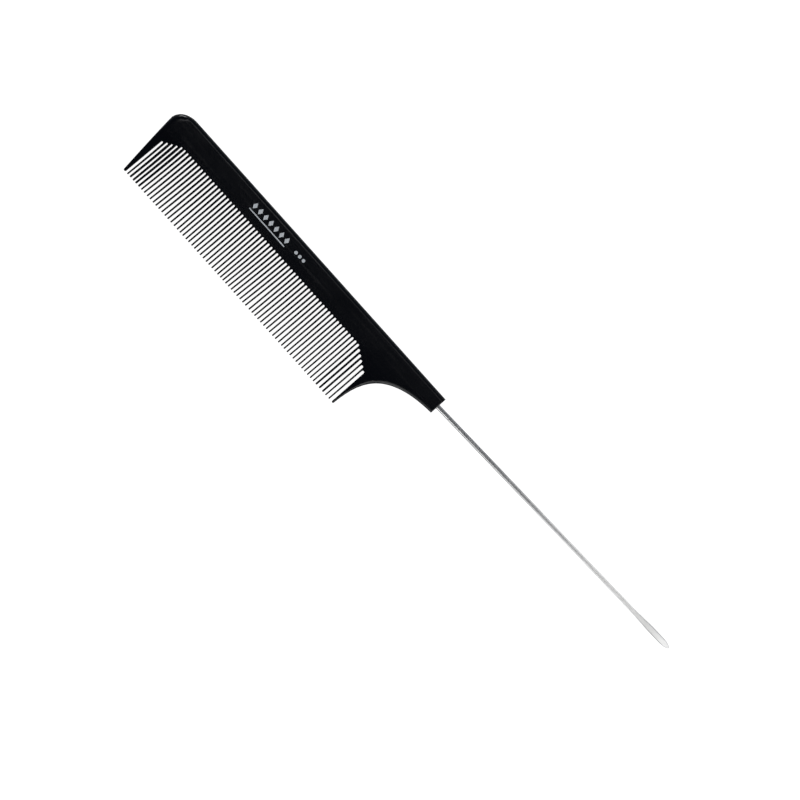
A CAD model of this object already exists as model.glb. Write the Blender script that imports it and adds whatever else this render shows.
"""Metal pin tail comb: moulded black body, steel tail pin and foil ornament, round the CAD frame.

Shapes are worked out in millimetres in the comb's own layout: s runs from the nose along the
comb, and drop runs from the back edge towards the tooth tips. Comb turns them into metres in
the frame, from the boxes of the CAD nodes.
"""

import math
import random

import bmesh
import bpy
from mathutils import Matrix, Vector


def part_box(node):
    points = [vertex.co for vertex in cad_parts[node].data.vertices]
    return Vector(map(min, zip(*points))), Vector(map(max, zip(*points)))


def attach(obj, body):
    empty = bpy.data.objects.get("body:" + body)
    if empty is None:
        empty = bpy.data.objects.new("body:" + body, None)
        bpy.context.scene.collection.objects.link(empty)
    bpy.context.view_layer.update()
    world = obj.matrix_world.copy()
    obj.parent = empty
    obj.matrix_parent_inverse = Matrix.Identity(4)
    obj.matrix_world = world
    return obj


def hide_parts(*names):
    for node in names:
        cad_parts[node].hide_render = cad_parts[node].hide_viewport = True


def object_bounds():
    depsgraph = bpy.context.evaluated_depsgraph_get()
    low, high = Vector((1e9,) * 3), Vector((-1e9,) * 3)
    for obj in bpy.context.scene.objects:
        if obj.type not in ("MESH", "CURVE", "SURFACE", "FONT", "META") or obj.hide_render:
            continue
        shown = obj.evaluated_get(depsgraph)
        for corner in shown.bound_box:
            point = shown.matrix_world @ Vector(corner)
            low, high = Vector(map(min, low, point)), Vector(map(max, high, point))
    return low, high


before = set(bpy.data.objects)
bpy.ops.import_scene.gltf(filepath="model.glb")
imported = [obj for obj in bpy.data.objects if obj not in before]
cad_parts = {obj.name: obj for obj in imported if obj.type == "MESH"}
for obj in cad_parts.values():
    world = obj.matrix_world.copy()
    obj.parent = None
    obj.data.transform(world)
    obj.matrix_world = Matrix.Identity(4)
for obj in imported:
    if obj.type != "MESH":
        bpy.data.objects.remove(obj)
cad_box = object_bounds()

MM = 0.001

# ---------------------------------------------------------------------------
# the comb's sizes, millimetres
# ---------------------------------------------------------------------------
SPINE_DEPTH = 8.25
TIP_THICKNESS = 1.2
BACK_ROUNDING = 1.2
EDGE_ROUNDING, EDGE_LEDGE = 0.07, 0.02    # how far the rounded edges and their first ring reach in
CORNER_LENGTH, CORNER_DEPTH = 6.3, 4.8
NOSE_RAKE = math.radians(5.0)

TOOTH_COUNT = 70
PITCH, HEEL_PITCH, HEEL_STEPS = 1.302, 1.42, 4
FIRST_TOOTH = 4.33
TOOTH_WIDTH, TIP_WIDTH = 0.54, 0.46
STOUT_WIDTH, STOUT_TIP_WIDTH, STOUT_RUN = 0.68, 0.60, 0.5
STOUT_TEETH = {1, 2, 3, 4, 65, 66, 67}
RAMP_SLOPE = math.tan(math.radians(31.3))
NOSE_RAMP, HEEL_RAMP = 3.3, 4.4
NOSE_TIP_WIDTH, HEEL_TIP_WIDTH = 0.9, 0.75
GUARD_LEAN = {"nose": math.tan(math.radians(1.8)), "heel": math.tan(math.radians(0.7))}

HANDLE_END_DEPTH = 5.95
NECK_RISE, NECK_RUN = 8.56, 20.0
NECK_RAKES = math.radians(3.5), math.radians(3.7)
NECK_ROUNDING, HEEL_ROUNDING = 0.95, 0.3
NECK_OPENS = 0.32, 0.34      # where the neck's rounding starts to widen, and over how much of it
NOSE_ROUNDING, END_ROUNDING = 0.5, 0.18

PIN_DIAMETER, PIN_LENGTH, PIN_TILT = 1.5, 100.6, math.radians(1.85)
PIN_OFFSET = 0.2
PIN_FLAT, PIN_WIDE, PIN_POINT = 38.0, 17.0, 4.0
PIN_TIP_WIDTH, PIN_WEB, PIN_POINT_WEB = 2.0, 0.55, 0.3
PIN_FULL = 1.8 * PIN_POINT   # the flat has its full width this far from the point
PIN_FACES = 0.55             # how fast flat faces spread as the wire is flattened
PIN_EDGE_RISE = 2.5          # how soon the ground edge darkens below the flat faces
FLAT_POWER = 1.2             # above 1, the wire starts to flatten slowly
POINT_POWERS = 2.2, 0.6      # shape of the point's outline, a rounded lancet
PIN_END = 0.04               # share of the point that is rounded away
PIN_START = 6.0              # length that reaches into the handle
PIN_SIDES, PIN_ROUND_STEPS, PIN_FLAT_STEPS = 32, 8, 7
PIN_POINT_LEVELS = (1.0, 0.85, 0.7, 0.55, 0.42, 0.3, 0.2, 0.12, 0.07, 0.035, 0.012, 0.002)


# ---------------------------------------------------------------------------
# layout shared by the pieces
# ---------------------------------------------------------------------------
class Comb:
    """Where the comb lies in the frame, read from the CAD nodes' boxes."""
    spine_low, spine_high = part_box("spine")
    handle_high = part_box("handle")[1]
    teeth_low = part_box("fine_teeth")[0]
    nose = spine_low.x
    back = spine_high.y
    thickness = (spine_high.z - spine_low.z) / MM
    length = (handle_high.x - spine_low.x) / MM
    depth = (spine_high.y - teeth_low.y) / MM
    middle = spine_low.z + (spine_high.z - spine_low.z) / 2

    @classmethod
    def to_frame(cls):
        """Matrix from (s, -drop, height above the mid-plane) in mm to the frame."""
        return Matrix.Translation((cls.nose, cls.back, cls.middle)) @ Matrix.Scale(MM, 4)


def tooth_s(index):
    """Middle of a fine tooth at its root. Tooth 0 is nearest the nose."""
    wide = max(0, index - (TOOTH_COUNT - 1 - HEEL_STEPS))
    return FIRST_TOOTH + (index - wide) * PITCH + wide * HEEL_PITCH


def gap_radius(index):
    """Half a gap's width. Gap 0 is between the nose tooth and fine tooth 0."""
    step = PITCH if index <= TOOTH_COUNT - 1 - HEEL_STEPS else HEEL_PITCH
    return (step - TOOTH_WIDTH) / 2


def gap_s(index):
    return tooth_s(index) - TOOTH_WIDTH / 2 - gap_radius(index)


def root_drop(index):
    """Where a gap's round root ends. The roots climb away from both guard teeth."""
    nose = NOSE_RAMP - (gap_s(index) - gap_s(0)) * RAMP_SLOPE
    heel = HEEL_RAMP - (gap_s(TOOTH_COUNT) - gap_s(index)) * RAMP_SLOPE
    return SPINE_DEPTH + max(0.0, nose, heel)


def spring_drop(index):
    """Where a gap's round root turns into its straight sides."""
    return root_drop(index) + gap_radius(index)


NOSE_FACE = gap_s(0) - gap_radius(0)
HEEL_FACE = gap_s(TOOTH_COUNT) + gap_radius(TOOTH_COUNT)


def half_thickness(drop):
    """Half the body's thickness: even over the spine, then tapering to the tooth tips."""
    share = max(0.0, (drop - SPINE_DEPTH) / (Comb.depth - SPINE_DEPTH))
    return (Comb.thickness + share * (TIP_THICKNESS - Comb.thickness)) / 2


def nose_inner(drop):
    return NOSE_FACE - GUARD_LEAN["nose"] * max(0.0, drop - spring_drop(0))


def nose_outer(drop):
    """Outer edge of the nose, gently bowed from below its corner to the nose tooth's tip."""
    past = math.atan(math.tan(NOSE_RAKE) * CORNER_DEPTH / CORNER_LENGTH)
    start_s = CORNER_LENGTH * (1 - math.cos(past))
    start = CORNER_DEPTH * (1 + math.sin(past))
    if drop <= start:
        return 0.0
    end = Comb.depth - NOSE_TIP_WIDTH / 2
    run = end - start
    bow = (nose_inner(end) - NOSE_TIP_WIDTH - start_s - math.tan(NOSE_RAKE) * run) / run ** 2
    return start_s + math.tan(NOSE_RAKE) * (drop - start) + bow * (drop - start) ** 2


def heel_inner(drop):
    return HEEL_FACE - GUARD_LEAN["heel"] * max(0.0, drop - spring_drop(TOOTH_COUNT))


def neck_point(t):
    """(s, drop) along the neck's sweep, from the heel tooth's tip, t = 0, to the handle's end."""
    tip = Comb.depth - HEEL_TIP_WIDTH / 2
    start = Vector((heel_inner(tip) + HEEL_TIP_WIDTH, tip))
    end = Vector((Comb.length, HANDLE_END_DEPTH))
    heel, handle = NECK_RAKES
    first = start + NECK_RISE * Vector((math.sin(heel), -math.cos(heel)))
    second = end + NECK_RUN * Vector((-math.cos(handle), math.sin(handle)))
    u = 1 - t
    return u ** 3 * start + 3 * u * u * t * first + 3 * u * t * t * second + t ** 3 * end


def neck_t(drop):
    """Place on the neck's sweep that lies at a drop."""
    low, high = 0.0, 1.0
    for _ in range(40):
        t = (low + high) / 2
        if neck_point(t).y > drop:
            low = t
        else:
            high = t
    return low


# ---------------------------------------------------------------------------
# mesh helpers
# ---------------------------------------------------------------------------
def finish_piece(bm, name, materials, nodes):
    """Turns a bmesh into a piece that rides on the comb and stands for its CAD nodes."""
    bmesh.ops.remove_doubles(bm, verts=bm.verts[:], dist=1e-7)
    bmesh.ops.recalc_face_normals(bm, faces=bm.faces[:])
    mesh = bpy.data.meshes.new(name)
    bm.to_mesh(mesh)
    bm.free()
    for material in materials:
        mesh.materials.append(material)
    for polygon in mesh.polygons:
        polygon.use_smooth = True
    piece = bpy.data.objects.new(name, mesh)
    bpy.context.collection.objects.link(piece)
    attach(piece, "root")
    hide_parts(*nodes)
    return piece


def grow(bm, edges, places):
    """Extrudes a run of edges by one step and puts its vertices, in order of s, at the places."""
    geom = bmesh.ops.extrude_edge_only(bm, edges=edges)["geom"]
    verts = sorted((g for g in geom if isinstance(g, bmesh.types.BMVert)), key=lambda v: v.co.x)
    for vert, (s, drop) in zip(verts, places):
        vert.co = (s, -drop, 0)
    fresh = set(verts)
    return [g for g in geom if isinstance(g, bmesh.types.BMEdge) and set(g.verts) <= fresh]


# ---------------------------------------------------------------------------
# comb body
# ---------------------------------------------------------------------------
# rows of the sheet
BACK_ROWS = (0.0, 0.25, 0.55, 0.9, 1.2, 1.4)       # drops of the rows along the back edge
FOOT_ROWS = (1.1, 0.7, 0.35, 0.0)                  # heights of the rows above the lower edge
MIDDLE_ROWS = (0.14, 0.3, 0.5, 0.74)               # shares of the way between them
MOST_STRETCH = 2.6                                 # of the foot rows, where the neck is steep

# columns of the sheet
NOSE_COLUMNS = (0.0, 0.3, 0.65, 1.2, 2.2)          # distances from the nose
HEEL_SHARES = (0.42, 0.72, 0.9)                    # shares of the heel tooth's width
ROOT_STEPS = 6                                     # round each gap's root
NECK_STEPS = 30
END_SHARES = (0.984, 0.992, 0.997)                 # closer columns at the handle's end

# teeth
GUARD_LEVELS = (0.08, 0.2, 0.35, 0.5, 0.65, 0.8, 0.92, 1.0)
ROUND_TIP = (math.radians(35), math.radians(65))   # rows round a tooth's tip

# tooth number and its lean towards the nose, degrees: the sawn teeth lean in loose groups
LEANS = ((0, 2.0), (4, 2.5), (12, 2.5), (17, 1.2), (31, 1.2), (36, 2.7), (41, 2.8), (42, 2.0),
         (48, 1.9), (52, 1.1), (69, 1.1))
TOOTH_LEVELS = (0.15, 0.3, 0.45, 0.6, 0.75, 0.9, 1.0)   # shares of a tooth's length
TOOTH_BEND = 1.3                                   # above 1, it bends more towards its tip
TOOTH_STRAY = 0.07                                 # most that a tip strays sideways

# outline that the faces are rounded towards
CORNER_RUNS, NECK_RUNS = 12, 30                    # short runs on the nose's curves, and the neck's
OUTLINE_EXTRA = 5.0                                # length by which it runs on past the body
NOSE_NARROWS, TIP_NARROWS = 2.2, 0.5               # how soon the nose's rounding narrows, and how far
WEAR_EDGE, WEAR_LEDGE, WEAR_WALL = 1.0, 0.6, 0.15  # how rubbed the edges are


def neck_stretch(t):
    """How much longer a step across the neck's edge gets when it is taken straight down."""
    run = neck_point(t + 0.01) - neck_point(t - 0.01)
    return min(MOST_STRETCH, math.hypot(run.x, run.y) / abs(run.x))


def band_columns():
    """Columns of the sheet above the teeth: (s, drop of its lower end, stretch of its lower rows,
    name of the run that hangs below)."""
    guard = spring_drop(0)
    columns = [(s, guard, 1.0, "nose") for s in NOSE_COLUMNS]
    columns.append((NOSE_FACE, guard, 1.0, "gap"))
    for index in range(TOOTH_COUNT + 1):
        radius, middle, root = gap_radius(index), gap_s(index), root_drop(index)
        for step in range(1, ROOT_STEPS + 1):
            angle = math.pi * step / ROOT_STEPS
            s, drop = middle - radius * math.cos(angle), root + radius * (1 - math.sin(angle))
            columns.append((s, drop, 1.0, "gap" if step < ROOT_STEPS else index))
    heel_drop = spring_drop(TOOTH_COUNT)
    start = neck_t(heel_drop)
    corner, widest = neck_point(start).x, neck_stretch(start)
    columns[-1] = (HEEL_FACE, heel_drop, 1.0, "heel")
    for share in HEEL_SHARES:
        s = HEEL_FACE + share * (corner - HEEL_FACE)
        columns.append((s, heel_drop, 1 + share * (widest - 1), "heel"))
    for share in [*(step / NECK_STEPS for step in range(NECK_STEPS)), *END_SHARES, 1.0]:
        t = start + (1 - start) * share
        place = neck_point(t)
        columns.append((place.x, place.y, neck_stretch(t), "neck"))
    return columns


def column_drops(foot, stretch):
    """Drops of a column's vertices, from the back edge to its foot."""
    top, low = BACK_ROWS[-1], foot - FOOT_ROWS[0] * stretch
    middle = [top + share * (low - top) for share in MIDDLE_ROWS]
    return [*BACK_ROWS, *middle, *(foot - height * stretch for height in FOOT_ROWS)]


def nose_place(s, drop):
    """Bends the square corner of the sheet to the nose's elliptical corner and raked edge."""
    if s < CORNER_LENGTH and drop < CORNER_DEPTH:
        u, v = 1 - s / CORNER_LENGTH, 1 - drop / CORNER_DEPTH
        s = CORNER_LENGTH * (1 - u * math.sqrt(1 - v * v / 2))
        drop = CORNER_DEPTH * (1 - v * math.sqrt(1 - u * u / 2))
    if s < NOSE_FACE:
        s += nose_outer(drop) * (1 - s / NOSE_FACE)
    return s, drop


def band(bm):
    """Sheet of the spine and handle. Returns its lower edges by the run that hangs from them."""
    columns = band_columns()
    rows = len(column_drops(SPINE_DEPTH, 1.0))
    verts = bmesh.ops.create_grid(bm, x_segments=len(columns) - 1, y_segments=rows - 1,
                                  size=0.5)["verts"]
    table = {}
    for vert in verts:
        i = round((vert.co.x + 0.5) * (len(columns) - 1))
        j = round((0.5 - vert.co.y) * (rows - 1))
        table[i, j] = vert
    for (i, j), vert in table.items():
        s, foot, stretch, _ = columns[i]
        s, drop = nose_place(s, column_drops(foot, stretch)[j])
        vert.co = (s, -drop, 0)
    runs = {}
    for i, (*_, name) in enumerate(columns[:-1]):
        if name not in ("gap", "neck"):
            edge = bm.edges.get((table[i, rows - 1], table[i + 1, rows - 1]))
            runs.setdefault(name, []).append(edge)
    return runs


def tooth_lean(index):
    """Slope of a tooth towards the nose."""
    for (first, lean), (last, next_lean) in zip(LEANS, LEANS[1:]):
        if index <= last:
            share = (index - first) / (last - first)
            return math.tan(math.radians(lean + share * (next_lean - lean)))


def grow_teeth(bm, runs):
    """Fine teeth, each drawn down from its own edge, with a little stray of its own."""
    wobble = random.Random(7)
    for index in range(TOOTH_COUNT):
        stout = index in STOUT_TEETH
        tip_half = (STOUT_TIP_WIDTH if stout else TIP_WIDTH) / 2
        root_half = (STOUT_WIDTH if stout else TOOTH_WIDTH) / 2
        top = max(spring_drop(index), spring_drop(index + 1))
        bottom = Comb.depth - tip_half
        lean = tooth_lean(index) * (bottom - top)
        stray = wobble.uniform(-TOOTH_STRAY, TOOTH_STRAY)
        middle = tooth_s(index)
        edges = runs[index]
        for level in (STOUT_RUN / (bottom - top), *TOOTH_LEVELS):
            half = root_half + level * (tip_half - root_half)
            s = middle - lean * level ** TOOTH_BEND + stray * level ** 2
            drop = top + level * (bottom - top)
            edges = grow(bm, edges, [(s - half, drop), (s + half, drop)])
        for angle in ROUND_TIP:
            half = tip_half * math.cos(angle)
            drop = bottom + tip_half * math.sin(angle)
            edges = grow(bm, edges, [(s - half, drop), (s + half, drop)])


def grow_guard(bm, edges, top, tip_width, inner, outer, shares):
    """A guard tooth between its two side curves. shares run from the side nearer the nose."""
    bottom = Comb.depth - tip_width / 2
    even = [place / (len(shares) - 1) for place in range(len(shares))]
    for level in GUARD_LEVELS:
        drop = top + level * (bottom - top)
        left, right = sorted((inner(drop), outer(drop)))
        spread = [share + level * (flat - share) for share, flat in zip(shares, even)]
        edges = grow(bm, edges, [(left + share * (right - left), drop) for share in spread])
    middle = (left + right) / 2
    for angle in ROUND_TIP:
        wide = (right - left) * math.cos(angle)
        drop = bottom + tip_width / 2 * math.sin(angle)
        edges = grow(bm, edges, [(middle + (share - 0.5) * wide, drop) for share in even])


def rounded_outline():
    """The body's outer outline as short runs: two ends and the rounding between the faces and it."""
    corner = []
    for step in range(CORNER_RUNS + 1):
        angle = math.radians(90 * step / CORNER_RUNS)
        s = CORNER_LENGTH * (1 - math.sin(angle))
        corner.append((s, CORNER_DEPTH * (1 - math.cos(angle)), BACK_ROUNDING))
    nose = []
    tip = Comb.depth - NOSE_TIP_WIDTH / 2
    for step in range(1, CORNER_RUNS + 1):
        share = step / CORNER_RUNS
        drop = CORNER_DEPTH + share * (tip - CORNER_DEPTH)
        rounding = BACK_ROUNDING + min(1.0, share * NOSE_NARROWS) * (NOSE_ROUNDING - BACK_ROUNDING)
        nose.append((nose_outer(drop), drop, rounding * (1 - TIP_NARROWS * share)))
    neck = []
    for step in range(NECK_RUNS + 1):
        t = step / NECK_RUNS
        place = neck_point(t)
        opening = min(1.0, max(0.0, (t - NECK_OPENS[0]) / NECK_OPENS[1]))
        rounding = HEEL_ROUNDING + opening * (NECK_ROUNDING - HEEL_ROUNDING)
        neck.append((place.x, place.y, rounding))
    back = [(Comb.length + OUTLINE_EXTRA, 0.0, BACK_ROUNDING)]
    end = [(Comb.length, -OUTLINE_EXTRA, END_ROUNDING),
           (Comb.length, HANDLE_END_DEPTH + OUTLINE_EXTRA, END_ROUNDING)]
    runs = list(zip(back + corner + nose, corner + nose))
    runs += zip(neck, neck[1:])
    runs.append(tuple(end))
    return runs


def outline_fall(s, drop, outline):
    """How far the faces fall towards the rounded outer edge at a place."""
    fall = 0.0
    for (s0, d0, r0), (s1, d1, r1) in outline:
        run_s, run_d = s1 - s0, d1 - d0
        share = ((s - s0) * run_s + (drop - d0) * run_d) / (run_s * run_s + run_d * run_d)
        share = min(1.0, max(0.0, share))
        rounding = r0 + share * (r1 - r0)
        away = math.hypot(s - s0 - share * run_s, drop - d0 - share * run_d)
        if away < rounding:
            fall = max(fall, rounding - math.sqrt(rounding ** 2 - (rounding - away) ** 2))
    return fall


def comb_body(materials):
    """The moulded body: one sheet given its rounded edges and taper, then mirrored."""
    bm = bmesh.new()
    runs = band(bm)
    grow_teeth(bm, runs)
    nose_shares = [s / NOSE_FACE for s in NOSE_COLUMNS] + [1.0]
    grow_guard(bm, runs["nose"], spring_drop(0), NOSE_TIP_WIDTH, nose_inner, nose_outer, nose_shares)
    heel_shares = [0.0, *HEEL_SHARES, 1.0]
    grow_guard(bm, runs["heel"], spring_drop(TOOTH_COUNT), HEEL_TIP_WIDTH, heel_inner,
               lambda drop: neck_point(neck_t(drop)).x, heel_shares)

    rim = {vert for vert in bm.verts if vert.is_boundary}
    first = bmesh.ops.inset_region(bm, faces=bm.faces[:], thickness=EDGE_LEDGE, use_boundary=True,
                                   use_even_offset=True)["faces"]
    ledge = {vert for face in first for vert in face.verts} - rim
    ring = set(first)
    inner = [face for face in bm.faces if face not in ring]
    bmesh.ops.inset_region(bm, faces=inner, thickness=EDGE_ROUNDING - EDGE_LEDGE, use_boundary=True,
                           use_even_offset=True)
    wear = bm.verts.layers.float.new("edge_wear")
    outline = rounded_outline()
    ledge_fall = EDGE_ROUNDING - math.sqrt(EDGE_ROUNDING ** 2 - (EDGE_ROUNDING - EDGE_LEDGE) ** 2)
    for vert in bm.verts:
        fall = EDGE_ROUNDING if vert in rim else ledge_fall if vert in ledge else 0.0
        vert[wear] = WEAR_EDGE if vert in rim else WEAR_LEDGE if vert in ledge else 0.0
        fall = max(fall, outline_fall(vert.co.x, -vert.co.y, outline))
        vert.co.z = half_thickness(-vert.co.y) - fall
    walls = bmesh.ops.extrude_edge_only(bm, edges=[edge for edge in bm.edges if edge.is_boundary])
    for part in walls["geom"]:
        if isinstance(part, bmesh.types.BMVert):
            part.co.z = 0.0
            part[wear] = WEAR_WALL
    bmesh.ops.mirror(bm, geom=bm.verts[:] + bm.edges[:] + bm.faces[:], axis="Z", merge_dist=1e-5)
    bmesh.ops.transform(bm, matrix=Comb.to_frame(), verts=bm.verts[:])
    return finish_piece(bm, "comb_body", materials,
                        ["spine", "handle", "nose_guard_tooth", "heel_guard_tooth", "fine_teeth"])


# ---------------------------------------------------------------------------
# tail pin
# ---------------------------------------------------------------------------
def pin_stations():
    """(distance from the handle's end, width, thickness), from inside the handle to the point."""
    stations = [(-PIN_START, PIN_DIAMETER, PIN_DIAMETER)]
    for step in range(PIN_ROUND_STEPS + 1):
        stations.append((step * (PIN_LENGTH - PIN_FLAT) / PIN_ROUND_STEPS, PIN_DIAMETER, PIN_DIAMETER))
    for step in range(1, PIN_FLAT_STEPS + 1):
        share = step / PIN_FLAT_STEPS
        web = PIN_DIAMETER + share ** FLAT_POWER * ((PIN_DIAMETER + PIN_WEB) / 2 - PIN_DIAMETER)
        stations.append((PIN_LENGTH - PIN_FLAT + share * (PIN_FLAT - PIN_WIDE), PIN_DIAMETER, web))
    wide_run = PIN_WIDE - PIN_FULL
    for step in range(1, PIN_FLAT_STEPS + 1):
        share = step / PIN_FLAT_STEPS
        ease = share * share * (3 - 2 * share)
        width = PIN_DIAMETER + ease * (PIN_TIP_WIDTH - PIN_DIAMETER)
        web = (PIN_DIAMETER + PIN_WEB) / 2 + share * (PIN_WEB - PIN_DIAMETER) / 2
        stations.append((PIN_LENGTH - PIN_WIDE + share * wide_run, width, web))
    for left in PIN_POINT_LEVELS:
        width = PIN_TIP_WIDTH * (1 - (1 - left) ** POINT_POWERS[0]) ** POINT_POWERS[1]
        web = PIN_POINT_WEB + left * (PIN_WEB - PIN_POINT_WEB)
        place = PIN_LENGTH - (PIN_END + (1 - PIN_END) * left) * PIN_POINT
        stations.append((place, width, min(width, web)))
    return stations


def tail_pin(materials):
    """Steel pin, drawn out ring by ring along its axis and closed at its point."""
    bm = bmesh.new()
    edge = bm.verts.layers.float.new("ground_edge")
    stations = pin_stations()
    ring = bmesh.ops.create_circle(bm, segments=PIN_SIDES, radius=0.5, cap_ends=False)["verts"]
    bmesh.ops.rotate(bm, verts=ring, cent=(0, 0, 0), matrix=Matrix.Rotation(math.pi / 2, 3, "Y"))
    edges = bm.edges[:]
    bmesh.ops.contextual_create(bm, geom=edges)
    round_shape = {vert: vert.co.copy() for vert in ring}
    place_ring(round_shape, edge, *stations[0])
    for station in stations[1:]:
        geom = bmesh.ops.extrude_edge_only(bm, edges=edges)["geom"]
        verts = [g for g in geom if isinstance(g, bmesh.types.BMVert)]
        edges = [g for g in geom if isinstance(g, bmesh.types.BMEdge) and set(g.verts) <= set(verts)]
        width = stations[stations.index(station) - 1][1]
        place_ring({vert: round_place(vert, width) for vert in verts}, edge, *station)
    bmesh.ops.contextual_create(bm, geom=edges)
    tilt = Matrix.Rotation(PIN_TILT, 4, "Z")
    seat = Matrix.Translation((Comb.length, -HANDLE_END_DEPTH / 2 - PIN_OFFSET, 0))
    bmesh.ops.transform(bm, matrix=Comb.to_frame() @ seat @ tilt, verts=bm.verts[:])
    return finish_piece(bm, "tail_pin_steel", materials, ["tail_pin"])


def round_place(vert, width):
    """Place on a round section of diameter 1 of a vertex that lies on a section this wide."""
    across = vert.co.y / width
    return Vector((0, across, math.copysign(math.sqrt(max(0.0, 0.25 - across ** 2)), vert.co.z)))


def place_ring(shape, edge, distance, width, web):
    """One section of the pin. The more it is flattened, the wider are its two flat faces."""
    swell = 1 + PIN_FACES * (1 - web / width)
    ground = min(1.0, max(0.0, (distance - PIN_LENGTH + PIN_WIDE) / (PIN_WIDE - PIN_FULL)))
    for vert, unit in shape.items():
        height = max(-0.5, min(0.5, swell * unit.z))
        vert.co = (distance, unit.y * width, height * web)
        vert[edge] = min(1.0, PIN_EDGE_RISE * (1 - 2 * abs(height))) * ground


# ---------------------------------------------------------------------------
# foil ornament
# ---------------------------------------------------------------------------
FOIL_PROUD = 0.02
FOIL_DEEP = 0.05


def foil_piece(name, node, materials):
    """A thin stamped foil over the CAD node's shapes, with softened edges."""
    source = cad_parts[node]
    bm = bmesh.new()
    bm.from_mesh(source.data)
    bmesh.ops.remove_doubles(bm, verts=bm.verts[:], dist=1e-6)
    bmesh.ops.dissolve_limit(bm, angle_limit=math.radians(1), verts=bm.verts[:], edges=bm.edges[:])
    top = max(vert.co.z for vert in bm.verts)
    for vert in bm.verts:
        vert.co.z = top + (FOIL_PROUD if vert.co.z > top - 1e-5 else -FOIL_DEEP) * MM
    rim = [edge for edge in bm.edges if all(vert.co.z > top for vert in edge.verts)]
    bmesh.ops.bevel(bm, geom=rim, offset=FOIL_PROUD * MM, affect="EDGES", segments=2, profile=0.5,
                    material=-1)
    return finish_piece(bm, name, materials, [node])


# ---------------------------------------------------------------------------
# materials
# ---------------------------------------------------------------------------
def node(tree, kind, values=None, **settings):
    """New shader node with its settings, and with values on its input sockets."""
    made = tree.nodes.new(kind)
    for key, value in settings.items():
        setattr(made, key, value)
    for key, value in (values or {}).items():
        made.inputs[key].default_value = value
    return made


def shader_group(name, inputs, outputs):
    """New node group, with its input and output nodes."""
    group = bpy.data.node_groups.new(name, "ShaderNodeTree")
    for label, kind, value in inputs:
        socket = group.interface.new_socket(label, in_out="INPUT", socket_type=kind)
        if value is not None:
            socket.default_value = value
    for label, kind in outputs:
        group.interface.new_socket(label, in_out="OUTPUT", socket_type=kind)
    return group, group.nodes.new("NodeGroupInput"), group.nodes.new("NodeGroupOutput")


def polish_marks_group():
    """Fine straight marks along one direction. Stretch is how much longer they are than wide."""
    group, given, out = shader_group(
        "polish_marks",
        [("Vector", "NodeSocketVector", None), ("Scale", "NodeSocketFloat", 900.0),
         ("Stretch", "NodeSocketFloat", 30.0), ("Sharpness", "NodeSocketFloat", 0.5)],
        [("Marks", "NodeSocketFloat"), ("Haze", "NodeSocketFloat")])
    link = group.links.new
    split = node(group, "ShaderNodeSeparateXYZ")
    divide = node(group, "ShaderNodeMath", operation="DIVIDE")
    join = node(group, "ShaderNodeCombineXYZ")
    lines = node(group, "ShaderNodeTexNoise", {"Detail": 4.0, "Roughness": 0.65})
    haze = node(group, "ShaderNodeTexNoise", {"Detail": 3.0, "Roughness": 0.55})
    slow = node(group, "ShaderNodeMath", {1: 0.06}, operation="MULTIPLY")
    low = node(group, "ShaderNodeMath", {1: 0.12}, operation="MULTIPLY")
    cutoff = node(group, "ShaderNodeMath", {0: 0.62}, operation="SUBTRACT")
    ramp = node(group, "ShaderNodeMapRange", {"From Max": 0.75, "To Min": 0.0, "To Max": 1.0})
    link(given.outputs["Vector"], split.inputs[0])
    link(split.outputs["X"], divide.inputs[0])
    link(given.outputs["Stretch"], divide.inputs[1])
    link(divide.outputs[0], join.inputs["X"])
    link(split.outputs["Y"], join.inputs["Y"])
    link(split.outputs["Z"], join.inputs["Z"])
    link(join.outputs[0], lines.inputs["Vector"])
    link(given.outputs["Scale"], lines.inputs["Scale"])
    link(given.outputs["Vector"], haze.inputs["Vector"])
    link(given.outputs["Scale"], slow.inputs[0])
    link(slow.outputs[0], haze.inputs["Scale"])
    link(given.outputs["Sharpness"], low.inputs[0])
    link(low.outputs[0], cutoff.inputs[1])
    link(cutoff.outputs[0], ramp.inputs["From Min"])
    link(lines.outputs["Fac"], ramp.inputs["Value"])
    link(ramp.outputs["Result"], out.inputs["Marks"])
    link(haze.outputs["Fac"], out.inputs["Haze"])
    return group


def speckle_group():
    """Scattered small specks, as dust, pits or worn spots. Amount runs from 0, none, to 1."""
    group, given, out = shader_group(
        "specks",
        [("Vector", "NodeSocketVector", None), ("Scale", "NodeSocketFloat", 1500.0),
         ("Amount", "NodeSocketFloat", 0.3)],
        [("Mask", "NodeSocketFloat")])
    link = group.links.new
    cells = node(group, "ShaderNodeTexVoronoi", {"Randomness": 1.0}, feature="F1")
    patches = node(group, "ShaderNodeTexNoise", {"Detail": 2.0})
    slow = node(group, "ShaderNodeMath", {1: 0.11}, operation="MULTIPLY")
    size = node(group, "ShaderNodeMath", operation="MULTIPLY")
    less = node(group, "ShaderNodeMath", operation="SUBTRACT")
    sharpen = node(group, "ShaderNodeMath", {1: 6.0}, operation="MULTIPLY", use_clamp=True)
    link(given.outputs["Vector"], cells.inputs["Vector"])
    link(given.outputs["Scale"], cells.inputs["Scale"])
    link(given.outputs["Vector"], patches.inputs["Vector"])
    link(given.outputs["Scale"], slow.inputs[0])
    link(slow.outputs[0], patches.inputs["Scale"])
    link(patches.outputs["Fac"], size.inputs[0])
    link(given.outputs["Amount"], size.inputs[1])
    link(size.outputs[0], less.inputs[0])
    link(cells.outputs["Distance"], less.inputs[1])
    link(less.outputs[0], sharpen.inputs[0])
    link(sharpen.outputs[0], out.inputs["Mask"])
    return group


def blank_material(name):
    material = bpy.data.materials.new(name)
    material.use_nodes = True
    tree = material.node_tree
    shader = tree.nodes["Principled BSDF"]
    return material, tree, shader


def placed(tree, group, values):
    """A node group placed in a material, with its own values."""
    made = node(tree, "ShaderNodeGroup", node_tree=group)
    for key, value in values.items():
        made.inputs[key].default_value = value
    return made


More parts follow.
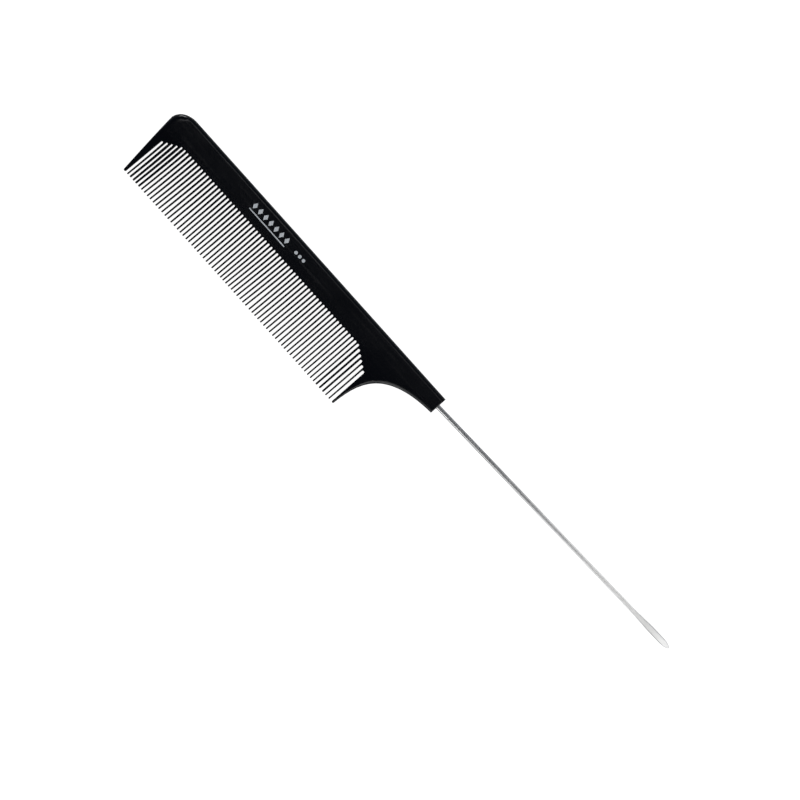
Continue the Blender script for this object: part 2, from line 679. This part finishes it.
RUBBER_BLACK = (0.0008, 0.0011, 0.0022, 1.0)
RUBBER_RUBBED = (0.010, 0.011, 0.0135, 1.0)
RUBBER_DUSTY = (0.010, 0.0105, 0.012, 1.0)


def hard_rubber(groups):
    """Polished black hard rubber with buffing marks, handling haze and rubbed edges."""
    material, tree, shader = blank_material("black_hard_rubber")
    link = tree.links.new
    shader.inputs["IOR"].default_value = 1.5
    coords = node(tree, "ShaderNodeTexCoord")
    marks = placed(tree, groups["marks"], {"Scale": 1400.0, "Stretch": 40.0, "Sharpness": 0.6})
    specks = placed(tree, groups["specks"], {"Scale": 900.0, "Amount": 0.25})
    wear = node(tree, "ShaderNodeAttribute", attribute_name="edge_wear")
    grime = node(tree, "ShaderNodeTexNoise", {"Scale": 260.0, "Detail": 3.0})
    rub = node(tree, "ShaderNodeMath", operation="MULTIPLY")
    worn = node(tree, "ShaderNodeMixRGB", {"Color1": RUBBER_BLACK, "Color2": RUBBER_RUBBED})
    dusted = node(tree, "ShaderNodeMixRGB", {"Color2": RUBBER_DUSTY})
    gloss = node(tree, "ShaderNodeMapRange", {"To Min": 0.10, "To Max": 0.18})
    scuffed = node(tree, "ShaderNodeMath", {1: 0.10}, operation="MULTIPLY_ADD")
    bump = node(tree, "ShaderNodeBump", {"Strength": 0.1, "Distance": 0.00002})
    for target in (marks, specks, grime):
        link(coords.outputs["Object"], target.inputs["Vector"])
    link(wear.outputs["Fac"], rub.inputs[0])
    link(grime.outputs["Fac"], rub.inputs[1])
    link(rub.outputs[0], worn.inputs["Fac"])
    link(worn.outputs[0], dusted.inputs["Color1"])
    link(specks.outputs["Mask"], dusted.inputs["Fac"])
    link(dusted.outputs[0], shader.inputs["Base Color"])
    link(marks.outputs["Haze"], gloss.inputs["Value"])
    link(marks.outputs["Marks"], scuffed.inputs[0])
    link(gloss.outputs["Result"], scuffed.inputs[2])
    link(scuffed.outputs[0], shader.inputs["Roughness"])
    link(marks.outputs["Marks"], bump.inputs["Height"])
    link(bump.outputs[0], shader.inputs["Normal"])
    return material


STEEL_DRAWN = (0.60, 0.594, 0.582, 1.0)
STEEL_POLISHED = (0.74, 0.736, 0.726, 1.0)
STEEL_FACET = (0.85, 0.845, 0.835, 1.0)
STEEL_RIM = (0.2, 0.2, 0.2, 1.0)
STEEL_PITS = (0.34, 0.335, 0.33, 1.0)
# how far from the point the ground finish starts, and has its full effect
DULL_RUN = 1.3 * PIN_FLAT, 0.5 * PIN_WIDE
FACET_RUN = 2.6 * PIN_POINT, 0.7 * PIN_POINT


def pin_steel(groups):
    """Drawn and polished steel wire. The flattened point is ground: duller, lighter and dark-rimmed."""
    material, tree, shader = blank_material("polished_pin_steel")
    link = tree.links.new
    shader.inputs["Metallic"].default_value = 1.0
    coords = node(tree, "ShaderNodeTexCoord")
    marks = placed(tree, groups["marks"], {"Scale": 2600.0, "Stretch": 60.0, "Sharpness": 0.8})
    specks = placed(tree, groups["specks"], {"Scale": 2200.0, "Amount": 0.3})
    split = node(tree, "ShaderNodeSeparateXYZ")
    end = Comb.handle_high.x + PIN_LENGTH * MM
    ground = node(tree, "ShaderNodeMapRange",
                  {"From Min": end - DULL_RUN[0] * MM, "From Max": end - DULL_RUN[1] * MM,
                   "To Min": 0.0, "To Max": 1.0}, interpolation_type="SMOOTHSTEP")
    bright = node(tree, "ShaderNodeMixRGB", {"Color1": STEEL_DRAWN, "Color2": STEEL_POLISHED})
    point = node(tree, "ShaderNodeMapRange",
                 {"From Min": end - FACET_RUN[0] * MM, "From Max": end - FACET_RUN[1] * MM,
                  "To Min": 0.0, "To Max": 1.0}, interpolation_type="SMOOTHSTEP")
    facet = node(tree, "ShaderNodeMixRGB", {"Color2": STEEL_FACET})
    edge = node(tree, "ShaderNodeAttribute", attribute_name="ground_edge")
    rim = node(tree, "ShaderNodeMixRGB", {"Color2": STEEL_RIM})
    spotted = node(tree, "ShaderNodeMixRGB", {"Color2": STEEL_PITS})
    gloss = node(tree, "ShaderNodeMapRange", {"To Min": 0.2, "To Max": 0.34})
    lined = node(tree, "ShaderNodeMath", {1: 0.1}, operation="MULTIPLY_ADD")
    bump = node(tree, "ShaderNodeBump", {"Strength": 0.12, "Distance": 0.00002})
    link(coords.outputs["Object"], marks.inputs["Vector"])
    link(coords.outputs["Object"], specks.inputs["Vector"])
    link(coords.outputs["Object"], split.inputs[0])
    link(split.outputs["X"], ground.inputs["Value"])
    link(marks.outputs["Haze"], bright.inputs["Fac"])
    link(split.outputs["X"], point.inputs["Value"])
    link(bright.outputs[0], facet.inputs["Color1"])
    link(point.outputs["Result"], facet.inputs["Fac"])
    link(facet.outputs[0], rim.inputs["Color1"])
    link(edge.outputs["Fac"], rim.inputs["Fac"])
    link(rim.outputs[0], spotted.inputs["Color1"])
    link(specks.outputs["Mask"], spotted.inputs["Fac"])
    link(spotted.outputs[0], shader.inputs["Base Color"])
    link(ground.outputs["Result"], gloss.inputs["Value"])
    link(marks.outputs["Marks"], lined.inputs[0])
    link(gloss.outputs["Result"], lined.inputs[2])
    link(lined.outputs[0], shader.inputs["Roughness"])
    link(marks.outputs["Marks"], bump.inputs["Height"])
    link(bump.outputs[0], shader.inputs["Normal"])
    return material


FOIL_DULL = (0.48, 0.51, 0.53, 1.0)
FOIL_BRIGHT = (0.70, 0.73, 0.75, 1.0)
FOIL_GAPS = (0.02, 0.02, 0.022, 1.0)


def stamped_foil(groups):
    """Hot-stamped silver-white foil, a little broken where it didn't take."""
    material, tree, shader = blank_material("stamped_foil")
    link = tree.links.new
    coords = node(tree, "ShaderNodeTexCoord")
    marks = placed(tree, groups["marks"], {"Scale": 1800.0, "Stretch": 12.0, "Sharpness": 0.5})
    specks = placed(tree, groups["specks"], {"Scale": 5200.0, "Amount": 0.45})
    tone = node(tree, "ShaderNodeMixRGB", {"Color1": FOIL_DULL, "Color2": FOIL_BRIGHT})
    broken = node(tree, "ShaderNodeMixRGB", {"Color2": FOIL_GAPS})
    gloss = node(tree, "ShaderNodeMapRange", {"To Min": 0.32, "To Max": 0.55})
    bump = node(tree, "ShaderNodeBump", {"Strength": 0.2, "Distance": 0.00001})
    link(coords.outputs["Object"], marks.inputs["Vector"])
    link(coords.outputs["Object"], specks.inputs["Vector"])
    link(marks.outputs["Haze"], tone.inputs["Fac"])
    link(tone.outputs[0], broken.inputs["Color1"])
    link(specks.outputs["Mask"], broken.inputs["Fac"])
    link(broken.outputs[0], shader.inputs["Base Color"])
    link(marks.outputs["Haze"], gloss.inputs["Value"])
    link(gloss.outputs["Result"], shader.inputs["Roughness"])
    link(marks.outputs["Marks"], bump.inputs["Height"])
    link(bump.outputs[0], shader.inputs["Normal"])
    return material


# ---------------------------------------------------------------------------
# studio
# ---------------------------------------------------------------------------
VIEW_TURN = math.radians(48.13)          # how far the comb slants down to the right in the view
VIEW_WIDTH = 0.24                        # width of the view at the comb
VIEW_SHIFT = (0.00153, 0.00164)          # the comb's middle lies this far left and below centre
LENS = 200.0
FLOOR_GLOW = 0.2, 0.8                    # the floor as mirrored by the comb, and by the pin's point
FLOOR_GLOW_RISE = 0.028, 0.068           # where along X the one goes over into the other
FLOOR_SEEN = 0.97                        # the floor as the camera sees it
FLOOR_REACH = 3.0                        # metres from its middle to its edges
FLOOR_DROP = 0.00005                     # keeps it just clear of the comb's lower face
HORIZON_TONE, OVERHEAD_TONE = 0.16, 0.035
HORIZON_TINT = (0.8, 0.93, 1.2, 1.0)
LIGHTS = (
    # name, place, length along the comb and width, strength, point on the floor that it faces
    ("teeth_side_low", (-0.368, -0.9, 0.3), (0.76, 0.5), 3.3, (-0.368, 0.0)),
    ("pin_side_low", (0.15, -0.9, 0.3), (0.26, 0.5), 1.0, (0.15, 0.0)),
    ("neck_side_low", (0.52, -0.9, 0.3), (0.46, 0.5), 2.2, (0.52, 0.0)),
    ("teeth_side_high", (0.0, -0.5, 0.66), (1.2, 0.3), 0.3, (0.0, 0.0)),
    ("pin_side", (0.36, -0.42, 0.6), (0.46, 0.5), 0.85, (0.08, 0.0)),
    ("pin_overhead", (0.24, 0.06, 0.62), (0.26, 0.6), 1.5, (0.08, 0.0)),
    ("pin_back", (0.27, 0.55, 0.28), (0.42, 0.6), 1.5, (0.08, 0.0)),
    ("back_strip", (-0.15, 0.085, 0.7), (0.16, 0.03), 2.6, (-0.09, 0.0)),
    ("handle_strip", (-0.02, 0.1, 0.7), (0.16, 0.07), 0.8, (-0.02, 0.0)),
    ("corner_light", (-0.64, 0.56, 0.36), (0.3, 0.36), 6.0, (-0.1, 0.01)),
)


def view_axes():
    """Directions in the frame of the view's right and up."""
    c, s = math.cos(VIEW_TURN), math.sin(VIEW_TURN)
    return Vector((c, s, 0)), Vector((-s, c, 0))


def camera():
    """Camera straight above the comb, turned so that the comb slants."""
    right, up = view_axes()
    data = bpy.data.cameras.new("camera")
    data.lens = LENS
    data.sensor_width = 36.0
    data.clip_start, data.clip_end = 0.05, 20.0
    made = bpy.data.objects.new("camera", data)
    bpy.context.collection.objects.link(made)
    low, high = cad_box
    middle = (low + high) / 2
    distance = VIEW_WIDTH * LENS / data.sensor_width
    spot = middle + right * VIEW_SHIFT[0] + up * VIEW_SHIFT[1]
    turn = Matrix((right, up, Vector((0, 0, 1)))).transposed().to_4x4()
    made.matrix_world = Matrix.Translation((spot.x, spot.y, high.z + distance)) @ turn
    bpy.context.scene.camera = made


def floor():
    """Pale floor lit from within. Mirrored in the comb it is dimmer than it looks."""
    bm = bmesh.new()
    bmesh.ops.create_grid(bm, x_segments=1, y_segments=1, size=FLOOR_REACH)
    mesh = bpy.data.meshes.new("floor")
    bm.to_mesh(mesh)
    bm.free()
    made = bpy.data.objects.new("floor", mesh)
    made.location = (0, 0, -FLOOR_DROP)
    bpy.context.collection.objects.link(made)
    material, tree, shader = blank_material("light_table")
    shader.inputs["Base Color"].default_value = (0.3, 0.3, 0.3, 1)
    shader.inputs["Roughness"].default_value = 0.9
    path = node(tree, "ShaderNodeLightPath")
    coords = node(tree, "ShaderNodeTexCoord")
    split = node(tree, "ShaderNodeSeparateXYZ")
    glow = node(tree, "ShaderNodeMapRange",
                {"From Min": FLOOR_GLOW_RISE[0], "From Max": FLOOR_GLOW_RISE[1],
                 "To Min": FLOOR_GLOW[0], "To Max": FLOOR_GLOW[1]}, interpolation_type="SMOOTHSTEP")
    seen = node(tree, "ShaderNodeMapRange", {"To Max": FLOOR_SEEN})
    tree.links.new(coords.outputs["Object"], split.inputs[0])
    tree.links.new(split.outputs["X"], glow.inputs["Value"])
    tree.links.new(glow.outputs["Result"], seen.inputs["To Min"])
    shader.inputs["Emission Color"].default_value = (1, 1, 1, 1)
    tree.links.new(path.outputs["Is Camera Ray"], seen.inputs["Value"])
    tree.links.new(seen.outputs["Result"], shader.inputs["Emission Strength"])
    mesh.materials.append(material)


def softbox(name, place, size, strength, aim):
    """Rectangular light at a place in the frame, in metres, its length kept along the comb."""
    away = (Vector(place) - Vector((*aim, 0.0))).normalized()
    along = Vector((1, 0, 0))
    along = (along - along.dot(away) * away).normalized()
    turn = Matrix((along, away.cross(along), away)).transposed().to_4x4()
    data = bpy.data.lights.new(name, "AREA")
    data.shape = "RECTANGLE"
    data.size, data.size_y = size
    data.energy = strength * size[0] * size[1] * math.pi
    made = bpy.data.objects.new(name, data)
    made.matrix_world = Matrix.Translation(place) @ turn
    made.visible_camera = False
    bpy.context.collection.objects.link(made)


def surroundings():
    """Dark overhead and lighter towards the horizon, but plain white to the camera itself."""
    world = bpy.data.worlds.new("studio")
    bpy.context.scene.world = world
    world.use_nodes = True
    tree = world.node_tree
    tree.nodes.clear()
    link = tree.links.new
    coords = node(tree, "ShaderNodeTexCoord")
    split = node(tree, "ShaderNodeSeparateXYZ")
    rise = node(tree, "ShaderNodeMapRange",
                {"From Min": 0.2, "From Max": 0.95, "To Min": HORIZON_TONE, "To Max": OVERHEAD_TONE},
                interpolation_type="SMOOTHSTEP")
    dim = node(tree, "ShaderNodeBackground", {"Color": HORIZON_TINT})
    plain = node(tree, "ShaderNodeBackground", {"Color": (1, 1, 1, 1)})
    path = node(tree, "ShaderNodeLightPath")
    mix = node(tree, "ShaderNodeMixShader")
    out = node(tree, "ShaderNodeOutputWorld")
    link(coords.outputs["Generated"], split.inputs[0])
    link(split.outputs["Z"], rise.inputs["Value"])
    link(rise.outputs["Result"], dim.inputs["Strength"])
    link(path.outputs["Is Camera Ray"], mix.inputs["Fac"])
    link(dim.outputs[0], mix.inputs[1])
    link(plain.outputs[0], mix.inputs[2])
    link(mix.outputs[0], out.inputs["Surface"])


def studio():
    bpy.context.scene.view_settings.view_transform = "Standard"
    camera()
    floor()
    surroundings()
    for light in LIGHTS:
        softbox(*light)


def main():
    studio()
    groups = {"marks": polish_marks_group(), "specks": speckle_group()}
    rubber = hard_rubber(groups)
    steel = pin_steel(groups)
    foil = stamped_foil(groups)
    comb_body([rubber])
    tail_pin([steel])
    for name in ("rule", "lozenges", "dots"):
        foil_piece("stamped_" + name, "foil_" + name, [foil])


main()
